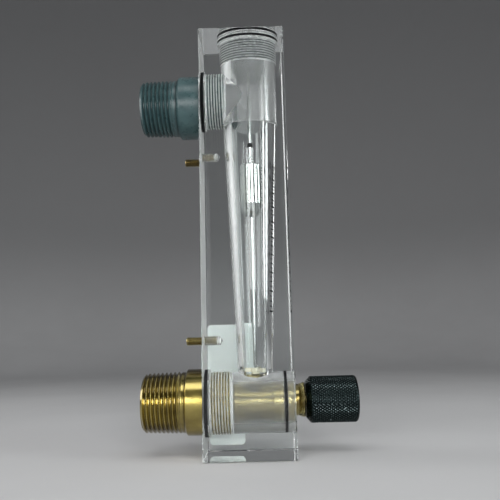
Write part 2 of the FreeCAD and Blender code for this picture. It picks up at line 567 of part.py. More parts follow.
def sticker(label, width, height, y_high, z_low):
    """A thin sheet with rounded corners on the block's +X face."""
    body = new_body(label)
    sketch = new_sketch(body, label + "_outline", "YZ_Plane", (0, 0, S.block_thickness / 2))
    y_low = y_high - width
    z_high = z_low + height
    polygon(sketch, [(y_low, z_low), (y_high, z_low), (y_high, z_high), (y_low, z_high)])
    sheet_pad = pad(body, label + "_sheet", sketch, S.label_thickness)
    corners = []
    for i, edge in enumerate(sheet_pad.Shape.Edges):
        a, b = edge.Vertexes[0].Point, edge.Vertexes[-1].Point
        if abs(a.y - b.y) < 1e-6 and abs(a.z - b.z) < 1e-6:
            corners.append("Edge%d" % (i + 1))
    if len(corners) != 4:
        raise RuntimeError("corner edges of " + label)
    rounding = body.newObject("PartDesign::Fillet", label + "_corners")
    rounding.Base = (sheet_pad, corners)
    rounding.Radius = S.label_corner.value
    rounding.setExpression("Radius", S.label_corner.text)
    doc.recompute()
    return body


sticker("side_label_upper", S.upper_label_width, S.upper_label_height,
        half_depth - S.upper_label_from_back, S.upper_label_top - S.upper_label_height)
sticker("side_label_lower", S.lower_label_width, S.lower_label_height,
        half_depth - S.lower_label_from_back, S.lower_label_bottom)

# ---------------------------------------------------------------- knob's set screw: radial, from below
place(screw, 0, -S.set_screw_position, S.inlet_level, FreeCAD.Rotation(V(1, 0, 0), 180))

# ---------------------------------------------------------------- checks and files
doc.recompute()
for obj in doc.Objects:
    if "Invalid" in obj.State or "Error" in obj.State:
        raise RuntimeError("failed object: %s %s" % (obj.Name, obj.State))
for body in parts:
    shape = body.Shape
    if shape.isNull() or not shape.isValid() or len(shape.Solids) < 1:
        raise RuntimeError("bad shape: " + body.Label)

os.makedirs("parts", exist_ok=True)
for body in parts:
    body.Shape.exportStep(os.path.join("parts", body.Label + ".step"))
    box = body.Shape.BoundBox
    print("%-22s solids %d  volume %10.2f  X %.2f..%.2f  Y %.2f..%.2f  Z %.2f..%.2f" % (
        body.Label, len(body.Shape.Solids), body.Shape.Volume,
        box.XMin, box.XMax, box.YMin, box.YMax, box.ZMin, box.ZMax))
print(len(parts), "parts")
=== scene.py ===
import math

import bmesh
import bpy
import numpy as np
from mathutils import Matrix, Vector


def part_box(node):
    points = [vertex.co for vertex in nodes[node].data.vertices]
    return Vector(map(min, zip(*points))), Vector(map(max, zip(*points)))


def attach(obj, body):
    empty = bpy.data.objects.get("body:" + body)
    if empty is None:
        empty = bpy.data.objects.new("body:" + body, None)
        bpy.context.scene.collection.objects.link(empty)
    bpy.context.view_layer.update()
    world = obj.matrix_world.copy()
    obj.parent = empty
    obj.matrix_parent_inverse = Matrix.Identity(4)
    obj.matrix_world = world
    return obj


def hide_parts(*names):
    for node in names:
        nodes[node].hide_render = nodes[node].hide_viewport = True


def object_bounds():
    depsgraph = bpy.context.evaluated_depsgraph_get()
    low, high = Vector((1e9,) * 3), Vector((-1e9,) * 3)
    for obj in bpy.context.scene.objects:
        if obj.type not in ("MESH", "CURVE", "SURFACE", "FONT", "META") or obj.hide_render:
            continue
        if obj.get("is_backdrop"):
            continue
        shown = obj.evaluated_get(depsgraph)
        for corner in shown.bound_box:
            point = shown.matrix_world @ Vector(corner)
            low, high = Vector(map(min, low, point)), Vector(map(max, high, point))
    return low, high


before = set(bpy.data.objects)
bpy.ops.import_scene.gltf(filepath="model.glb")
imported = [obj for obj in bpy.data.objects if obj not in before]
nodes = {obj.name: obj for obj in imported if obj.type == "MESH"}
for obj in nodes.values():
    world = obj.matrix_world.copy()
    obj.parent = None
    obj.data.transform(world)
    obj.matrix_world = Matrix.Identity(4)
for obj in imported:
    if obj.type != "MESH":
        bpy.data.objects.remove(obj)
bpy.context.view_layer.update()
MM = 0.001


def middle(node):
    low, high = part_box(node)
    return [(a + b) / 2 / MM for a, b in zip(low, high)]


# the frame's own places, in millimetres
BLOCK_LOW, BLOCK_HIGH = [[c / MM for c in corner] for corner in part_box("body_block")]
HALF_X = BLOCK_HIGH[0]
HALF_Y = BLOCK_HIGH[1]
TOP = BLOCK_HIGH[2]
TUBE_Y = middle("guide_rod")[1]
OUTLET_Z = middle("outlet_oring")[2]
INLET_Z = middle("valve_body")[2]
STUDS = {"upper": middle("mounting_stud_upper")[2], "lower": middle("mounting_stud_lower")[2]}

# ------------------------------------------------------------------ mesh code


def finish_mesh(name, vertices, faces, indices=None, sharp=30.0, weld=0.0004):
    """A clean, outward-facing, smooth-shaded mesh object in millimetres; scaled to metres by put()."""
    mesh = bpy.data.meshes.new(name)
    mesh.from_pydata([tuple(v) for v in vertices], [], [tuple(f) for f in faces])
    if indices is not None:
        mesh.polygons.foreach_set("material_index", np.array(indices, np.int32))
    work = bmesh.new()
    work.from_mesh(mesh)
    bmesh.ops.remove_doubles(work, verts=work.verts, dist=weld)
    bmesh.ops.dissolve_degenerate(work, edges=work.edges, dist=weld / 2)
    bmesh.ops.recalc_face_normals(work, faces=work.faces)
    work.to_mesh(mesh)
    work.free()
    mesh.shade_smooth()
    mesh.set_sharp_from_angle(angle=math.radians(sharp))
    thing = bpy.data.objects.new(name, mesh)
    bpy.context.scene.collection.objects.link(thing)
    return thing


def soften(profile, size, closed=False):
    """Rounds the corners of a half section with three points each."""
    out = []
    n = len(profile)
    for i, item in enumerate(profile):
        if isinstance(item, dict):
            out.append(item)
            continue
        before, after = profile[i - 1] if (i or closed) else None, profile[(i + 1) % n] if (i < n - 1 or closed) else None
        if before is None or after is None or isinstance(before, dict) or isinstance(after, dict) or item[0] <= 0:
            out.append(item)
            continue
        p, a, b = Vector(item[:2]), Vector(before[:2]), Vector(after[:2])
        da, db = (a - p), (b - p)
        if da.length < 1e-6 or db.length < 1e-6:
            out.append(item)
            continue
        angle = da.angle(db)
        if angle > math.radians(165):
            out.append(item)
            continue
        c = min(size, da.length * 0.3, db.length * 0.3)
        start, end = p + da.normalized() * c, p + db.normalized() * c
        mid = (start + end) / 4 + p / 2
        extra = item[2:]
        out += [(start.x, start.y, *extra), (mid.x, mid.y, *extra), (end.x, end.y, *extra)]
    return out


def v_form(p):
    """Depth share of a sharp thread at phase p: flat crest, straight flanks, flat root."""
    q = abs(((p + 0.5) % 1.0) - 0.5)
    return min(1.0, max(0.0, (q - 0.0625) / 0.375))


def pipe_form(p):
    """Depth share of a rounded pipe thread at phase p."""
    q = abs(((p + 0.5) % 1.0) - 0.5)
    return 0.6 * min(1.0, max(0.0, (q - 0.04) / 0.42)) + 0.4 * (0.5 - 0.5 * math.cos(2 * math.pi * q))


V_ROWS = (0.0625, 0.25, 0.4375, 0.5625, 0.75, 0.9375)
PIPE_ROWS = (0.0, 0.06, 0.14, 0.26, 0.38, 0.46, 0.54, 0.62, 0.74, 0.86, 0.94)


def thread(low, high, radius, pitch=1.5, rows=V_ROWS, index=0):
    """A helical band from low to high; radius(along, depth phase) gives its form and doesn't depend on the phase at its ends."""
    return {"low": low, "high": high, "radius": radius, "pitch": pitch, "rows": rows, "index": index}


def turned(name, profile, place, seg=160, closed=True, start=0.0):
    """Revolves a half section given as (radius, along[, material index]) points, with helical bands between two of them.
    place maps (x, y, along) to the row frame."""
    angles = start + np.linspace(0, 2 * math.pi, seg + 1)
    co, si = np.cos(angles), np.sin(angles)
    vertices, faces, indices = [], [], []

    def grid(radii, alongs, index):
        rows = len(radii)
        base = len(vertices)
        for r, a in zip(radii, alongs):
            r = np.broadcast_to(r, co.shape)
            a = np.broadcast_to(a, co.shape)
            xs, ys, zs = place(r * co, r * si, a)
            vertices.extend(zip(xs, ys, zs))
        for i in range(rows - 1):
            for j in range(seg):
                v = base + i * (seg + 1) + j
                faces.append((v, v + 1, v + seg + 2, v + seg + 1))
                indices.append(index[i] if isinstance(index, list) else index)

    items = list(profile)
    if closed:
        items.append(items[0])
    previous = None
    band = None
    for item in items:
        if isinstance(item, dict):
            band = item
            continue
        if previous is not None:
            if band is None:
                grid([np.float64(previous[0]), np.float64(item[0])], [np.float64(previous[1]), np.float64(item[1])],
                     item[2] if len(item) > 2 else 0)
            else:
                low, high, pitch = band["low"], band["high"], band["pitch"]
                turns = np.linspace(0, 1, seg + 1)
                radii, alongs = [], []
                count = int(math.ceil((high - low) / pitch)) + 1
                levels = [k + p for k in range(-2, count) for p in band["rows"]]
                for level in levels:
                    a = low + pitch * (level + turns)
                    a = np.where(a < low + 0.02, low, np.where(a > high - 0.02, high, a))
                    radii.append(np.array([band["radius"](x, level % 1.0) for x in a]))
                    alongs.append(a)
                index = band["index"]
                if isinstance(index, tuple):
                    # the flat nearest the axis and the flank beside it get their own material
                    index = [index[1] if 0.43 < (one + two) / 2 % 1.0 < 0.80 else index[0] for one, two in zip(levels, levels[1:])]
                if previous[1] > item[1]:
                    radii.reverse()
                    alongs.reverse()
                    if isinstance(index, list):
                        index.reverse()
                grid(radii, alongs, index)
            band = None
        previous = item
    return finish_mesh(name, vertices, faces, indices)


def lying(z):
    """Places a piece turned about a horizontal axis at height z: along grows towards the front."""
    return lambda x, y, a: (x, -a, z + y)


def upright(x, y, a):
    return x, TUBE_Y + y, a


def blend_in(a, edge, width):
    """1 at the edge, 0 from width away."""
    t = min(1.0, abs(a - edge) / width)
    return 1.0 - t * t * (3 - 2 * t)


def prism(name, outline, low, high, place):
    n = len(outline)
    vertices = [place(x, y, low) for x, y in outline] + [place(x, y, high) for x, y in outline]
    faces = [tuple(range(n)), tuple(range(n, 2 * n))] + [(i, (i + 1) % n, n + (i + 1) % n, n + i) for i in range(n)]
    return finish_mesh(name, vertices, faces)


def evaluated(thing):
    graph = bpy.context.evaluated_depsgraph_get()
    mesh = bpy.data.meshes.new_from_object(thing.evaluated_get(graph))
    old = thing.data
    thing.modifiers.clear()
    thing.data = mesh
    bpy.data.meshes.remove(old)
    return thing


def cut(thing, cutter, sharp=30.0):
    for m in thing.data.materials:
        cutter.data.materials.append(m)
    modifier = thing.modifiers.new("cut", "BOOLEAN")
    modifier.operation = "DIFFERENCE"
    modifier.solver = "EXACT"
    modifier.object = cutter
    if hasattr(modifier, "material_mode"):
        modifier.material_mode = "INDEX"
    bpy.context.view_layer.update()
    evaluated(thing)
    bpy.data.objects.remove(cutter)
    thing.data.shade_smooth()
    thing.data.set_sharp_from_angle(angle=math.radians(sharp))
    return thing


def put(thing, body, slot, *replaced, materials=()):
    """From millimetres to metres, finish, and onto its body."""
    thing.data.transform(Matrix.Scale(MM, 4))
    if not thing.data.materials:
        for m in materials:
            thing.data.materials.append(m)
    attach(thing, body)
    if replaced:
        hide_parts(*replaced)
    return thing


# ------------------------------------------------------------------ materials


class Nodes:
    """Short hand for a material's node tree; object coordinates are the row frame in metres."""

    def __init__(self, name):
        self.material = bpy.data.materials.new(name)
        self.material.use_nodes = True
        self.tree = self.material.node_tree
        self.tree.nodes.clear()
        self.output = self.tree.nodes.new("ShaderNodeOutputMaterial")
        self.shader = self.tree.nodes.new("ShaderNodeBsdfPrincipled")
        self.tree.links.new(self.shader.outputs[0], self.output.inputs["Surface"])
        self.coordinates = self.tree.nodes.new("ShaderNodeTexCoord").outputs["Object"]

    def set(self, **values):
        for key, value in values.items():
            self.shader.inputs[key.replace("_", " ")].default_value = value
        return self

    def link(self, a, b):
        self.tree.links.new(a, b)

    def stretched(self, x, y, z, turn=(0, 0, 0)):
        n = self.tree.nodes.new("ShaderNodeMapping")
        n.inputs["Scale"].default_value = (x, y, z)
        n.inputs["Rotation"].default_value = turn
        self.link(self.coordinates, n.inputs["Vector"])
        return n.outputs[0]

    def noise(self, scale, detail=4.0, rough=0.55, vector=None, distortion=0.0):
        n = self.tree.nodes.new("ShaderNodeTexNoise")
        n.inputs["Scale"].default_value = scale
        n.inputs["Detail"].default_value = detail
        n.inputs["Roughness"].default_value = rough
        n.inputs["Distortion"].default_value = distortion
        self.link(vector or self.coordinates, n.inputs["Vector"])
        return n.outputs[0]

    def bands(self, axis, period, distortion=0.0, detail=2.0, vector=None):
        n = self.tree.nodes.new("ShaderNodeTexWave")
        n.wave_type = "BANDS"
        n.bands_direction = axis
        n.inputs["Scale"].default_value = 0.31416 / period
        n.inputs["Distortion"].default_value = distortion
        n.inputs["Detail"].default_value = detail
        n.inputs["Detail Scale"].default_value = 1.5
        self.link(vector or self.coordinates, n.inputs["Vector"])
        return n.outputs["Fac"]

    def span(self, value, a, b, to_a=0.0, to_b=1.0, smooth=True):
        n = self.tree.nodes.new("ShaderNodeMapRange")
        n.interpolation_type = "SMOOTHSTEP" if smooth else "LINEAR"
        n.inputs["From Min"].default_value = a
        n.inputs["From Max"].default_value = b
        n.inputs["To Min"].default_value = to_a
        n.inputs["To Max"].default_value = to_b
        self.link(value, n.inputs["Value"])
        return n.outputs["Result"]

    def mix(self, factor, a, b):
        n = self.tree.nodes.new("ShaderNodeMix")
        n.data_type = "RGBA"
        self.link(factor, n.inputs[0])
        for socket, value in ((n.inputs[6], a), (n.inputs[7], b)):
            if isinstance(value, (tuple, list)):
                socket.default_value = (*value[:3], 1)
            else:
                self.link(value, socket)
        return n.outputs[2]

    def maths(self, kind, a, b):
        n = self.tree.nodes.new("ShaderNodeMath")
        n.operation = kind
        for socket, value in ((n.inputs[0], a), (n.inputs[1], b)):
            if isinstance(value, (int, float)):
                socket.default_value = value
            else:
                self.link(value, socket)
        return n.outputs[0]

    def axis(self, name):
        n = self.tree.nodes.new("ShaderNodeSeparateXYZ")
        self.link(self.coordinates, n.inputs[0])
        return n.outputs[name]

    def to(self, socket, value):
        self.link(value, self.shader.inputs[socket])
        return self

    def bump(self, *layers):
        """layers of (height, distance in metres, strength)"""
        normal = None
        for height, distance, strength in layers:
            n = self.tree.nodes.new("ShaderNodeBump")
            n.inputs["Distance"].default_value = distance
            n.inputs["Strength"].default_value = strength
            self.link(height, n.inputs["Height"])
            if normal is not None:
                self.link(normal, n.inputs["Normal"])
            normal = n.outputs[0]
        self.link(normal, self.shader.inputs["Normal"])
        return self


ACRYLIC = (0.955, 0.985, 0.98, 1)


def acrylic_polished():
    m = Nodes("acrylic_polished").set(Base_Color=ACRYLIC, Transmission_Weight=1.0, IOR=1.49)
    specks = m.span(m.noise(2600, 2.0), 0.73, 0.80, 0.0, 0.25)
    scratch = m.span(m.noise(140, 3.0, vector=m.stretched(1, 9, 0.35, (0.7, 0.2, 0.5))), 0.70, 0.78, 0.0, 0.12)
    m.to("Roughness", m.maths("ADD", 0.004, m.maths("MULTIPLY", m.maths("ADD", specks, scratch), 0.6)))
    return m.material


def acrylic_frosted(name, axis, roughness, milky, period=0.00022):
    """A machined bore: clear plastic with a matt, finely grooved skin."""
    m = Nodes(name).set(Base_Color=(0.95, 0.965, 0.96, 1), Transmission_Weight=1.0 - milky, IOR=1.49)
    cloud = m.noise(220, 3.0)
    m.to("Roughness", m.span(cloud, 0.3, 0.7, roughness - 0.03, roughness + 0.04))
    m.bump((m.bands(axis, period, 0.4), 0.00001, 0.22), (m.noise(9000, 1.0), 0.000003, 0.05))
    m.to("Base Color", m.mix(m.span(m.noise(90, 4.0), 0.35, 0.65), (0.95, 0.97, 0.965), (0.985, 0.995, 0.99)))
    return m.material


def brass(name, axis, tone=(0.41, 0.345, 0.125), tarnish=(0.19, 0.14, 0.037), roughness=0.16, marks=0.00016, root_shade=0.0):
    """Turned brass with fine lathe marks and uneven tarnish; root_shade paints shade: it darkens the colour in the root
    of each thread.
    """
    m = Nodes(name).set(Metallic=1.0, Coat_Weight=0.9, Coat_Roughness=0.12, Coat_IOR=1.5)
    patches = m.span(m.noise(70, 4.0, 0.5, vector=m.stretched(1, 0.5, 1) if axis == "Y" else None), 0.40, 0.70)
    stains = m.span(m.noise(620, 3.0), 0.68, 0.80, 0.0, 0.06)
    base = m.mix(patches, tone, tarnish)
    base = m.mix(stains, base, tuple(0.55 * c for c in tarnish))
    if root_shade:
        # painted shade: hollow places (low pointiness) in each thread's root are coloured dark brown to stand in for
        # shade
        geometry = m.tree.nodes.new("ShaderNodeNewGeometry")
        base = m.mix(m.span(geometry.outputs["Pointiness"], 0.44, 0.496, root_shade, 0.0), base, (0.030, 0.021, 0.006))
    m.to("Base Color", base)
    m.to("Roughness", m.span(m.noise(160, 4.0), 0.3, 0.7, roughness, roughness + 0.08))
    m.bump((m.bands(axis, marks, 0.6), 0.000006, 0.25))
    return m.material


def plastic(name, low, high, roughness, axis="Y", marks=0.0002, specks=None, thread_root_shade=0.0):
    m = Nodes(name).set(IOR=1.5)
    base = m.mix(m.span(m.noise(160, 5.0), 0.35, 0.7), low, high)
    if specks:
        base = m.mix(m.span(m.noise(1900, 2.0), 0.68, 0.76), base, specks)
    if thread_root_shade:
        # painted shade: the colour darkens to near black in each thread's root, standing in for shade there
        geometry = m.tree.nodes.new("ShaderNodeNewGeometry")
        base = m.mix(m.span(geometry.outputs["Pointiness"], 0.455, 0.496, thread_root_shade, 0.0), base, (0.006, 0.012, 0.013))
    m.to("Base Color", base)
    m.to("Roughness", m.span(m.noise(330, 4.0), 0.3, 0.7, roughness - 0.05, roughness + 0.1))
    m.bump((m.bands(axis, marks, 1.0), 0.000008, 0.25), (m.noise(1200, 4.0), 0.00002, 0.12))
    return m.material


def steel(name, axis, base=(0.50, 0.515, 0.51), roughness=0.08, marks=0.00012):
    m = Nodes(name).set(Metallic=1.0)
    m.to("Base Color", m.mix(m.span(m.noise(300, 4.0), 0.35, 0.7), base, tuple(0.88 * c for c in base)))
    m.to("Roughness", m.span(m.noise(500, 5.0), 0.3, 0.7, roughness - 0.03, roughness + 0.06))
    m.bump((m.bands(axis, marks, 0.8), 0.000004, 0.3))
    return m.material


def rubber():
    m = Nodes("rubber_black").set(IOR=1.52, Specular_IOR_Level=0.3)
    m.to("Base Color", m.mix(m.span(m.noise(900, 4.0), 0.4, 0.75), (0.010, 0.010, 0.011), (0.028, 0.028, 0.030)))
    m.to("Roughness", m.span(m.noise(1500, 3.0), 0.3, 0.7, 0.32, 0.5))
    m.bump((m.noise(3500, 3.0), 0.00002, 0.3))
    return m.material


def pressed_rubber():
    """Where an O-ring is squeezed against the plastic there is no air gap, so the plastic's skin reads black."""
    m = Nodes("plastic_wetted_by_rubber").set(IOR=1.5, Specular_IOR_Level=0.08)
    m.to("Base Color", m.mix(m.span(m.noise(1200, 4.0), 0.4, 0.75), (0.003, 0.003, 0.004), (0.008, 0.008, 0.009)))
    m.to("Roughness", m.span(m.noise(1500, 3.0), 0.3, 0.7, 0.55, 0.7))
    return m.material


def anodised():
    """Black anodised aluminium with a painted highlight: the knurl's sharp crests are coloured light grey, unevenly."""
    m = Nodes("anodised_black").set(Metallic=0.88)
    geometry = m.tree.nodes.new("ShaderNodeNewGeometry")
    # painted highlight: sharp knurl crests (high pointiness) get a light colour in place of glints
    highlight_mask = m.span(geometry.outputs["Pointiness"], 0.53, 0.61, 0.0, 1.0)
    tip_highlight = m.maths("MULTIPLY", highlight_mask, m.span(m.noise(600, 4.0), 0.35, 0.7, 0.35, 1.0))
    m.to("Base Color", m.mix(tip_highlight, (0.004, 0.009, 0.009), (0.36, 0.44, 0.45)))
    m.to("Roughness", m.span(m.noise(1400, 4.0), 0.3, 0.7, 0.20, 0.30))
    m.bump((m.noise(4200, 3.0), 0.00001, 0.25))
    return m.material


def film():
    """Blank white film; its grey is uneven, as if faintly rubbed."""
    m = Nodes("sticker_film").set(IOR=1.45)
    rub = m.span(m.noise(55, 5.0, 0.6, vector=m.stretched(1, 0.8, 1.4)), 0.50, 0.68, 0.0, 0.4)
    m.to("Base Color", m.mix(rub, (0.90, 0.945, 0.93), (0.72, 0.78, 0.77)))
    m.to("Roughness", m.span(m.noise(800, 3.0), 0.3, 0.7, 0.38, 0.5))
    m.bump((m.noise(700, 4.0), 0.00003, 0.2))
    return m.material


def ink():
    m = Nodes("scale_ink").set(IOR=1.45, Specular_IOR_Level=0.1)
    m.to("Base Color", m.mix(m.span(m.noise(1500, 3.0), 0.5, 0.75), (0.004, 0.004, 0.005), (0.014, 0.014, 0.016)))
    m.to("Roughness", m.span(m.noise(900, 2.0), 0.3, 0.7, 0.5, 0.65))
    return m.material


def nylon():
    m = Nodes("nylon_cream").set(IOR=1.53)
    m.to("Base Color", m.mix(m.span(m.noise(500, 4.0), 0.35, 0.7), (0.93, 0.91, 0.76), (0.84, 0.80, 0.62)))
    m.to("Roughness", m.span(m.noise(700, 3.0), 0.3, 0.7, 0.42, 0.55))
    m.bump((m.noise(1800, 3.0), 0.00004, 0.3))
    return m.material


POLISHED = acrylic_polished()
FROST_UPRIGHT = acrylic_frosted("acrylic_bored_upright", "Z", 0.21, 0.22)
FROST_LEVEL = acrylic_frosted("acrylic_bored_level", "Y", 0.33, 0.10)
MILLED = acrylic_frosted("acrylic_milled_back", "Z", 0.92, 0.55, 0.0006)
TAPPED_UPRIGHT = acrylic_frosted("acrylic_tapped_upright", "Z", 0.28, 0.60)
TAPPED_LEVEL = acrylic_frosted("acrylic_tapped_level", "Y", 0.28, 0.72)
TAPPED_CREST = acrylic_frosted("acrylic_thread_crest", "Z", 0.45, 0.92)
PRESSED = pressed_rubber()
BLOCK_MATERIALS = (POLISHED, FROST_UPRIGHT, FROST_LEVEL, MILLED, TAPPED_UPRIGHT, TAPPED_LEVEL, PRESSED, TAPPED_CREST)
BRASS_LEVEL = brass("brass_turned", "Y")
BRASS_PIPE = brass("brass_pipe_thread", "Y", tone=(0.40, 0.32, 0.085), tarnish=(0.18, 0.13, 0.024), root_shade=0.6)
BRASS_STUD = brass("brass_stud", "Y", roughness=0.2, marks=0.0003, root_shade=0.95)
PVC = plastic("pvc_grey", (0.022, 0.052, 0.056), (0.036, 0.074, 0.077), 0.30, "Y", specks=(0.10, 0.14, 0.14), thread_root_shade=0.9)
PVC_UPRIGHT = plastic("pvc_grey_plug", (0.070, 0.082, 0.085), (0.10, 0.115, 0.118), 0.36, "Z")
STEEL_UPRIGHT = steel("steel_polished", "Z")
FLOAT_STEEL = steel("steel_float", "Z", base=(0.54, 0.56, 0.545), roughness=0.08)
STEEL_LEVEL = steel("steel_screw", "Y", roughness=0.2)
SCREW = steel("screw_black", "Z", base=(0.06, 0.06, 0.065), roughness=0.3)
RUBBER = rubber()
KNOB = anodised()
FILM = film()
INK = ink()
NYLON = nylon()

# ------------------------------------------------------------------ the clear block

C_MINOR, C_DEPTH = 15.6, 0.85          # M33 x 1.5 in the plastic
CLEAR = 0.09


def coarse(a, p, gap=0.0):
    """Radius of the M33 x 1.5 thread; gap opens the female one."""
    return C_MINOR + gap + C_DEPTH * (1 - v_form(p))


def block():
    work = bmesh.new()
    bmesh.ops.create_cube(work, size=1.0)
    bmesh.ops.scale(work, verts=work.verts, vec=(2 * HALF_X, 2 * HALF_Y, TOP))
    bmesh.ops.translate(work, verts=work.verts, vec=(0, 0, TOP / 2))
    bmesh.ops.bevel(work, geom=work.edges[:], offset=0.4, offset_type="OFFSET", segments=1, affect="EDGES", profile=0.5)
    bmesh.ops.recalc_face_normals(work, faces=work.faces)
    for f in work.faces:
        f.material_index = 3 if f.normal.y > 0.9 else 0
    mesh = bpy.data.meshes.new("acrylic_block")
    work.to_mesh(mesh)
    work.free()
    thing = bpy.data.objects.new("acrylic_block", mesh)
    bpy.context.scene.collection.objects.link(thing)
    for m in BLOCK_MATERIALS:
        mesh.materials.append(m)

    def taper(z):
        return 9.45 + (15.4 - 9.45) * (z - 43.5) / (182.0 - 43.5)

    # upright bore: metering taper, chamber, plug thread, recess
    top_thread = thread(TOP - 16.6, TOP - 3.0 - 0.01, lambda a, p: (
        coarse(a, p, CLEAR) * (1 - blend_in(a, TOP - 16.6, 1.0) - blend_in(a, TOP - 3.01, 0.5))
        + 16.1 * blend_in(a, TOP - 16.6, 1.0) + 16.6 * blend_in(a, TOP - 3.01, 0.5)), index=(4, 7))
    bore = turned("upright_cutter", [
        (0, 31.0, 0), (taper(31.0), 31.0, 0), (taper(60), 60, 0), (taper(100), 100, 0), (taper(140), 140, 0), (15.38, 181.55, 0), (15.52, 181.9, 1),
        (15.6, 182.0, 1), (15.9, 182.0, 1), (16.1, 182.2, 1), (16.1, TOP - 16.6, 1), top_thread,
        (16.6, TOP - 3.01, 1), (17.7, TOP - 3.0, 4), (17.7, TOP - 2.6, 4), (17.7, TOP - 1.1, 6), (17.7, TOP - 0.25, 4), (18.2, TOP + 0.25, 1), (18.2, TOP + 2, 1), (0, TOP + 2, 1)],
        upright, seg=192)
    cut(thing, bore)

    # outlet port from the back into the chamber
    back = -HALF_Y
    port_thread = thread(back + 3.01, -9.2, lambda a, p: (
        coarse(a, p, CLEAR) * (1 - blend_in(a, back + 3.01, 0.5) - blend_in(a, -9.2, 0.9))
        + 16.6 * blend_in(a, back + 3.01, 0.5) + 15.65 * blend_in(a, -9.2, 0.9)), index=(5, 7))
    port = turned("port_cutter", [
        (0, back - 2, 2), (18.0, back - 2, 2), (18.0, back - 0.3, 2), (17.7, back + 0.2, 2), (17.7, back + 0.4, 2), (17.7, back + 2.2, 6), (17.7, back + 3.0, 2), (16.6, back + 3.01, 2), port_thread,
        (15.65, -9.2, 2), (15.65, 3.5, 2), (0, 3.5, 2)], lying(OUTLET_Z), seg=192, start=0.3)
    cut(thing, port)

    # valve bore, right through; its O-ring touches the wall at SEAL
    SEAL = -middle("valve_body_oring")[1]
    valve_thread = thread(back + 3.01, -8.4, lambda a, p: (
        coarse(a, p, CLEAR) * (1 - blend_in(a, back + 3.01, 0.5) - blend_in(a, -8.4, 0.9))
        + 16.6 * blend_in(a, back + 3.01, 0.5) + 16.1 * blend_in(a, -8.4, 0.9)), index=(5, 7))
    front = HALF_Y
    valve = turned("valve_cutter", [
        (0, back - 2, 2), (18.0, back - 2, 2), (18.0, back - 0.3, 2), (17.7, back + 0.2, 2), (17.7, back + 0.4, 2), (17.7, back + 2.2, 6), (17.7, back + 3.0, 2), (16.6, back + 3.01, 2), valve_thread,
        (16.1, -8.4, 2), (16.1, SEAL - 0.75, 2), (16.1, SEAL + 0.75, 6), (16.1, front - 0.35, 2), (16.5, front + 0.05, 2), (16.5, front + 2, 2), (0, front + 2, 2)],
        lying(INLET_Z), seg=192, start=0.3)
    cut(thing, valve)

    # tapped stud holes with the drill's cone
    for key, z in STUDS.items():
        hole_thread = thread(back - 0.01, back + 8.9, lambda a, p: (
            (2.12 + 0.46 * (1 - v_form(p))) * (1 - blend_in(a, back + 8.9, 0.5) - blend_in(a, back - 0.01, 0.35))
            + 2.3 * blend_in(a, back + 8.9, 0.5) + 2.75 * blend_in(a, back - 0.01, 0.35)), pitch=0.8, index=(2, 7))
        hole = turned("stud_cutter_" + key, [
            (0, back - 2, 2), (2.75, back - 2, 2), (2.75, back - 0.01, 2), hole_thread, (2.3, back + 8.9, 2), (2.3, back + 9.1, 2), (0, back + 10.3, 2)],
            lying(z), seg=64)
        cut(thing, hole)
    return put(thing, "housing", "acrylic_clear", "body_block")


block()

# ------------------------------------------------------------------ connections, plug and studs


def pipe_radius(end, length):
    """Radius of the 1 inch pipe thread, 11 per inch and tapered 1 in 16, from its outer end inwards."""
    def radius(a, p):
        from_end = a - end
        crest = 16.6 - 0.5 * (length - from_end) / 16
        crest = min(crest, 16.6)
        r = crest - 1.35 * pipe_form(p)
        runout = min(1.0, max(0.0, (from_end - (length - 3.0)) / 3.0))
        r = r + (crest - 0.35 - r) * runout
        chamfer = 14.5 + from_end * 1.05
        return min(r, chamfer)
    return radius


def fitting(name, node, z, outer_end, thread_end, shank_radius, shank_start, inner_end, inner, material, slot):
    back = -HALF_Y
    length = outer_end - thread_end
    form = pipe_radius(-outer_end, length)
    pipe = thread(-outer_end, -thread_end, form, pitch=2.309, rows=PIPE_ROWS)
    screw = thread(back + 3.6, -inner_end - 0.02, lambda a, p: min(
        coarse(a, p) * (1 - blend_in(a, back + 3.6, 0.8)) + 15.4 * blend_in(a, back + 3.6, 0.8),
        15.3 + (-inner_end - 0.02 - a) * 0.9))
    profile = [(11.0, -outer_end + 1.0), (11.9, -outer_end), (14.5, -outer_end), pipe, (16.25, -thread_end), (16.25, -shank_start - (shank_radius - 16.25) * 0.8)]
    profile += [(shank_radius - 0.25, -shank_start - 0.25), (shank_radius, -shank_start)]
    profile += [(shank_radius, back - 0.5), (shank_radius - 0.45, back - 0.03), (15.25, back - 0.03), (15.25, back + 3.2), (15.4, back + 3.6), screw, (15.3, -inner_end - 0.02)]
    profile += inner
    thing = turned(name, profile, lying(z), seg=176)
    return put(thing, "housing", slot, node, materials=(material,))


fitting("outlet_connection", "outlet_fitting", OUTLET_Z, 59.0, 39.6, 18.2, 36.6, 10.0,
        [(12.0, -10.02), (11.0, -11.0)], PVC, "pvc_grey")
fitting("inlet_connection", "inlet_fitting", INLET_Z, 57.8, 35.8, 17.8, 33.6, 8.9,
        [(12.4, -8.92), (12.1, -9.2), (12.1, -18.0), (11.0, -18.0)], BRASS_PIPE, "brass")


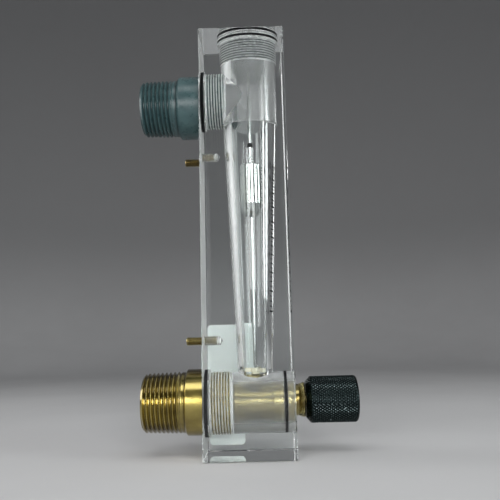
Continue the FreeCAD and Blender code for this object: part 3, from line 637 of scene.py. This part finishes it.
def plug():
    bottom = TOP - 17.4
    band = thread(bottom + 0.01, TOP - 3.2, lambda a, p: min(
        coarse(a, p) * (1 - blend_in(a, TOP - 3.2, 0.8)) + 15.4 * blend_in(a, TOP - 3.2, 0.8), 15.2 + (a - bottom - 0.01) * 0.9))
    thing = turned("threaded_plug", [
        (0, bottom), (15.2, bottom + 0.01), band, (15.4, TOP - 3.2), (15.3, TOP - 3.0), (15.3, TOP - 0.75), (15.4, TOP - 0.7), (17.5, TOP - 0.7),
        (17.6, TOP - 0.6), (17.6, TOP - 0.2), (17.4, TOP), (0, TOP)], upright, seg=176)
    corner = 12.0 / math.sqrt(3)
    outline = [(corner * math.cos(math.radians(a)), corner * math.sin(math.radians(a))) for a in (10, 70, 130, 190, 250, 310)]
    cut(thing, prism("socket_cutter", outline, TOP - 7.0, TOP + 1, upright))
    hole = turned("rod_hole_cutter", [(0, bottom - 1), (2.0, bottom - 1), (2.0, bottom), (1.65, bottom + 0.35), (1.65, TOP - 7.6), (0, TOP - 7.3)], upright, seg=48)
    cut(thing, hole)
    return put(thing, "housing", "pvc_grey", "top_plug", materials=(PVC_UPRIGHT,))


plug()

for key, z in STUDS.items():
    low, high = -HALF_Y - 10.5, -HALF_Y + 7.6
    rod = thread(low, high, lambda a, p, low=low, high=high: min(
        2.03 + 0.44 * (1 - v_form(p)), 1.9 + (a - low) * 0.95, 1.9 + (high - a) * 0.95), pitch=0.8)
    stud = turned("threaded_stud_" + key, [(0, low - 0.0), (1.9, low), rod, (1.9, high), (0, high)], lying(z), seg=72)
    put(stud, "housing", "brass", "mounting_stud_" + key, materials=(BRASS_STUD,))

# ------------------------------------------------------------------ knurled knob


def knob():
    starts, period = 50, 2.25
    inner, outer = 30.4, 58.5
    low, high = 33.1, outer - 1.0
    per = 8
    seg = starts * per
    rows = int(round((high - low) / (period / per)))
    step = (high - low) / rows
    angles = np.linspace(0, 2 * math.pi, seg + 1)
    vertices, faces = [], []

    def add(radii, along):
        radii = np.broadcast_to(radii, angles.shape)
        xs, ys, zs = lying(INLET_Z)(radii * np.cos(angles), radii * np.sin(angles), np.broadcast_to(along, angles.shape))
        vertices.extend(zip(xs, ys, zs))

    def groove(phase):
        q = np.abs(((phase + 0.5) % 1.0) - 0.5)
        return np.clip(1 - q / 0.40, 0, 1)

    count = 0
    add(4.0, outer - 3.9 - 0.4)
    add(4.0, inner + 0.3)
    add(4.3, inner)
    add(9.55, inner)
    add(9.8, inner + 0.22)
    add(12.2, inner + 2.4)
    add(12.32, inner + 2.58)
    for i in range(rows + 1):
        along = low + i * step
        turn = starts * angles / (2 * math.pi)
        depth = np.maximum(groove(turn + (along - low) / period), groove(turn - (along - low) / period))
        fade = min(1.0, (along - low) / 0.5) * min(1.0, (high - along) / 0.5)
        add(12.5 - 0.45 * depth * fade - 0.12 * (1 - fade), along)
    add(12.25, outer - 0.72)
    add(12.0, outer - 0.4)
    add(11.55, outer - 0.12)
    add(11.0, outer)
    add(10.2, outer)
    add(10.05, outer - 0.12)
    add(4.0, outer - 0.12)
    add(1.2, outer - 0.12)
    add(0.0, outer - 0.35)
    total = len(vertices) // (seg + 1)
    for i in range(total - 1):
        for j in range(seg):
            v = i * (seg + 1) + j
            faces.append((v, v + 1, v + seg + 2, v + seg + 1))
    # the blind end of the stem's bore
    base = len(vertices)
    add(0.0, outer - 3.9)
    for j in range(seg):
        faces.append((j, j + 1, base + j + 1, base + j))
    thing = finish_mesh("knurled_knob", vertices, faces, sharp=40)
    ring = [(2.05 * math.cos(a + 0.031), 2.05 * math.sin(a + 0.031)) for a in np.linspace(0, 2 * math.pi, 48, endpoint=False)]
    cut(thing, prism("set_screw_cutter", ring, -14.0, -2.0, lambda x, y, a: (x, -37.0 + y, INLET_Z + a)), sharp=40)
    return put(thing, "valve_stem", "anodised_black", "control_knob", materials=(KNOB,))


knob()

# ------------------------------------------------------------------ blank stickers on the +X face


def sticker(name, node):
    low, high = [[c / MM for c in corner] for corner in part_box(node)]
    y0, y1, z0, z1 = low[1], high[1], low[2], high[2]
    corner, steps = 2.2, 8
    outline = []
    for cy, cz, a0 in ((y1 - corner, z1 - corner, 0), (y0 + corner, z1 - corner, 90), (y0 + corner, z0 + corner, 180), (y1 - corner, z0 + corner, 270)):
        for k in range(steps + 1):
            a = math.radians(a0 + 90 * k / steps)
            outline.append((cy + corner * math.cos(a), cz + corner * math.sin(a)))
    inner, outer = HALF_X + 0.012, high[0]
    work = bmesh.new()
    face = work.faces.new([work.verts.new((inner, y, z)) for y, z in outline])
    result = bmesh.ops.extrude_face_region(work, geom=[face])
    moved = [v for v in result["geom"] if isinstance(v, bmesh.types.BMVert)]
    bmesh.ops.translate(work, verts=moved, vec=(outer - inner, 0, 0))
    top = [f for f in work.faces if all(abs(v.co.x - outer) < 1e-6 for v in f.verts)]
    bmesh.ops.inset_region(work, faces=top, thickness=0.06, depth=0.0)
    for v in work.verts:
        if abs(v.co.x - outer) < 1e-6 and not all(f in top or f.normal.length >= 0 for f in v.link_faces):
            v.co.x -= 0.02
    bmesh.ops.recalc_face_normals(work, faces=work.faces)
    mesh = bpy.data.meshes.new(name)
    work.to_mesh(mesh)
    work.free()
    thing = bpy.data.objects.new(name, mesh)
    bpy.context.scene.collection.objects.link(thing)
    return put(thing, "housing", "sticker_white", node, materials=(FILM,))


sticker("blank_sticker_upper", "side_label_upper")
sticker("blank_sticker_lower", "side_label_lower")

# ------------------------------------------------------------------ flow scale just under the front face's skin

LEVELS = {10: 157.3, 9: 150.1, 8: 142.6, 7: 134.6, 6: 126.0, 5: 117.1, 4: 107.3, 3: 97.2, 2: 86.7, 1: 75.4}


def scale_print():
    work = bmesh.new()
    near, deep = -HALF_Y + 0.02, -HALF_Y + 0.06

    def bar(x0, x1, z0, z1):
        corners = [work.verts.new((x, y, z)) for y in (near, deep) for x, z in ((x0, z0), (x1, z0), (x1, z1), (x0, z1))]
        for ids in ((0, 1, 2, 3), (7, 6, 5, 4), (0, 4, 5, 1), (1, 5, 6, 2), (2, 6, 7, 3), (3, 7, 4, 0)):
            work.faces.new([corners[i] for i in ids])

    for value, z in LEVELS.items():
        bar(-3.4, 8.0, z - 0.46, z + 0.46)
        if value > 1:
            below = LEVELS[value - 1]
            for part, reach, half in ((0.25, 3.4, 0.30), (0.5, 5.6, 0.38), (0.75, 3.4, 0.30)):
                level = z + (below - z) * part
                bar(-3.4, reach, level - half, level + half)
    mesh = bpy.data.meshes.new("scale_print")
    bmesh.ops.recalc_face_normals(work, faces=work.faces)
    work.to_mesh(mesh)
    work.free()
    pieces = [mesh]
    for value, z in LEVELS.items():
        curve = bpy.data.curves.new("figure", "FONT")
        curve.body = str(value)
        curve.size = 5.0
        curve.align_x = "RIGHT"
        curve.align_y = "CENTER"
        curve.extrude = 0.02
        curve.offset = 0.10
        curve.resolution_u = 5
        text = bpy.data.objects.new("figure", curve)
        bpy.context.scene.collection.objects.link(text)
        bpy.context.view_layer.update()
        figure = bpy.data.meshes.new_from_object(text.evaluated_get(bpy.context.evaluated_depsgraph_get()))
        bpy.data.objects.remove(text)
        figure.transform(Matrix.Translation((-5.4, (near + deep) / 2, z - 0.4)) @ Matrix.Rotation(math.radians(90), 4, "X"))
        pieces.append(figure)
    work = bmesh.new()
    for piece in pieces:
        work.from_mesh(piece)
    bmesh.ops.remove_doubles(work, verts=work.verts, dist=0.0005)
    bmesh.ops.recalc_face_normals(work, faces=work.faces)
    mesh = bpy.data.meshes.new("scale_print")
    work.to_mesh(mesh)
    work.free()
    thing = bpy.data.objects.new("scale_print", mesh)
    bpy.context.scene.collection.objects.link(thing)
    return put(thing, "housing", "rubber_black", materials=(INK,))


scale_print()

# ------------------------------------------------------------------ finishes on the CAD nodes that stay

finishes = {
    "valve_body": BRASS_LEVEL, "valve_bonnet": BRASS_LEVEL, "valve_stem": BRASS_LEVEL, "valve_disc": BRASS_LEVEL,
    "guide_rod": STEEL_UPRIGHT, "float": FLOAT_STEEL, "washer_screw": STEEL_LEVEL, "knob_set_screw": SCREW,
    "rod_foot": NYLON, "float_stop_ring": RUBBER, "seat_washer": RUBBER}
for name, node in nodes.items():
    finish = finishes.get(name) or (RUBBER if "oring" in name else None)
    if finish is not None:
        node.data.materials.clear()
        node.data.materials.append(finish)

# ------------------------------------------------------------------ floor, light and camera


def studio():
    m = Nodes("studio_pale")
    pale = m.mix(m.span(m.noise(6, 3.0), 0.3, 0.7), (0.60, 0.60, 0.605), (0.63, 0.63, 0.635))
    m.to("Base Color", m.mix(m.span(m.axis("Z"), 0.03, 0.45), pale, (0.37, 0.37, 0.375)))
    m.to("Roughness", m.span(m.noise(20, 3.0), 0.3, 0.7, 0.75, 0.85))
    # the part stands 0.6 mm above the floor, so that light gets under its polished foot
    profile = [(0.0, 0.0), (1.0, 0.0)]
    for k in range(1, 13):
        a = math.radians(90 * k / 12)
        profile.append((1.0 + 0.6 * math.sin(a), 0.6 - 0.6 * math.cos(a)))
    profile.append((1.6, 2.0))
    work = bmesh.new()
    rings = []
    for r, z in profile[1:]:
        rings.append([work.verts.new((r * math.cos(a), r * math.sin(a), z - 0.0006)) for a in np.linspace(0, 2 * math.pi, 96, endpoint=False)])
    work.faces.new(rings[0])
    for one, two in zip(rings, rings[1:]):
        for j in range(96):
            work.faces.new((one[j], one[(j + 1) % 96], two[(j + 1) % 96], two[j]))
    bmesh.ops.recalc_face_normals(work, faces=work.faces)
    mesh = bpy.data.meshes.new("studio_floor")
    work.to_mesh(mesh)
    work.free()
    mesh.shade_smooth()
    mesh.materials.append(m.material)
    thing = bpy.data.objects.new("studio_floor", mesh)
    bpy.context.scene.collection.objects.link(thing)
    thing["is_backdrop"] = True


studio()


def panel(name, at, aim, width, height, radiance, tint=(1, 1, 1), spread=84):
    """A soft box with a grid; radiance is what it shows straight ahead."""
    data = bpy.data.lights.new(name, "AREA")
    half = math.radians(spread / 2)
    data.spread = 2 * half
    data.shape = "RECTANGLE"
    data.size, data.size_y = width, height
    data.energy = radiance * math.pi * width * height * (1 - half / math.tan(half))
    data.color = tint
    thing = bpy.data.objects.new(name, data)
    thing.location = at
    thing.rotation_mode = "QUATERNION"
    thing.rotation_quaternion = (Vector(aim) - Vector(at)).to_track_quat("-Z", "Y")
    thing.visible_camera = False
    bpy.context.scene.collection.objects.link(thing)
    return thing


panel("light_front_left", (-0.95, 0.34, 0.20), (0, 0.02, 0.08), 0.34, 0.30, 16.5)
panel("light_front_right", (-0.95, -0.27, 0.25), (0, 0, 0.10), 0.28, 0.40, 18.0)
panel("light_left", (-0.55, 0.80, 0.34), (0, 0, 0.14), 0.30, 0.58, 2.6, (1.0, 1.0, 0.98))
panel("light_right", (-0.34, -0.92, 0.34), (0, 0, 0.14), 0.34, 0.58, 7.0, (0.95, 1.0, 1.0))
panel("light_high", (-0.55, 0.0, 1.00), (0, 0, 0.10), 1.1, 0.45, 2.6, spread=130)
panel("light_behind", (0.22, 1.05, 0.40), (0, 0, 0.14), 0.55, 0.60, 3.8)

world = bpy.data.worlds.new("studio_world")
world.use_nodes = True
world.node_tree.nodes["Background"].inputs["Color"].default_value = (0.96, 0.98, 1.0, 1)
world.node_tree.nodes["Background"].inputs["Strength"].default_value = 0.30
bpy.context.scene.world = world

# the photograph's viewpoint, solved from the block's edges seen directly and through the plastic
YAW, PITCH, ROLL = 0.012429, 0.159305, -0.024981
cy, sy = math.cos(YAW), math.sin(YAW)
cp, sp = math.cos(PITCH), math.sin(PITCH)
cr, sr = math.cos(ROLL), math.sin(ROLL)
turn = Matrix(((cy, 0, sy), (0, 1, 0), (-sy, 0, cy))) @ Matrix(((1, 0, 0), (0, cp, -sp), (0, sp, cp))) @ Matrix(((cr, -sr, 0), (sr, cr, 0), (0, 0, 1)))
to_row = Matrix(((0, 0, -1), (-1, 0, 0), (0, 1, 0)))
camera_data = bpy.data.cameras.new("camera")
camera_data.sensor_width = 36.0
camera_data.lens = 36.0 * 585.967 / 500
camera_data.clip_start, camera_data.clip_end = 0.01, 20
camera = bpy.data.objects.new("camera", camera_data)
camera.matrix_world = Matrix.Translation((-0.331272, -0.0062296, 0.0581435)) @ (to_row @ turn).to_4x4()
bpy.context.scene.collection.objects.link(camera)
bpy.context.scene.camera = camera

scene = bpy.context.scene
scene.view_settings.view_transform = "Standard"
scene.cycles.max_bounces = 24
scene.cycles.transmission_bounces = 24
scene.cycles.glossy_bounces = 16
scene.cycles.transparent_max_bounces = 16

low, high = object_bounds()
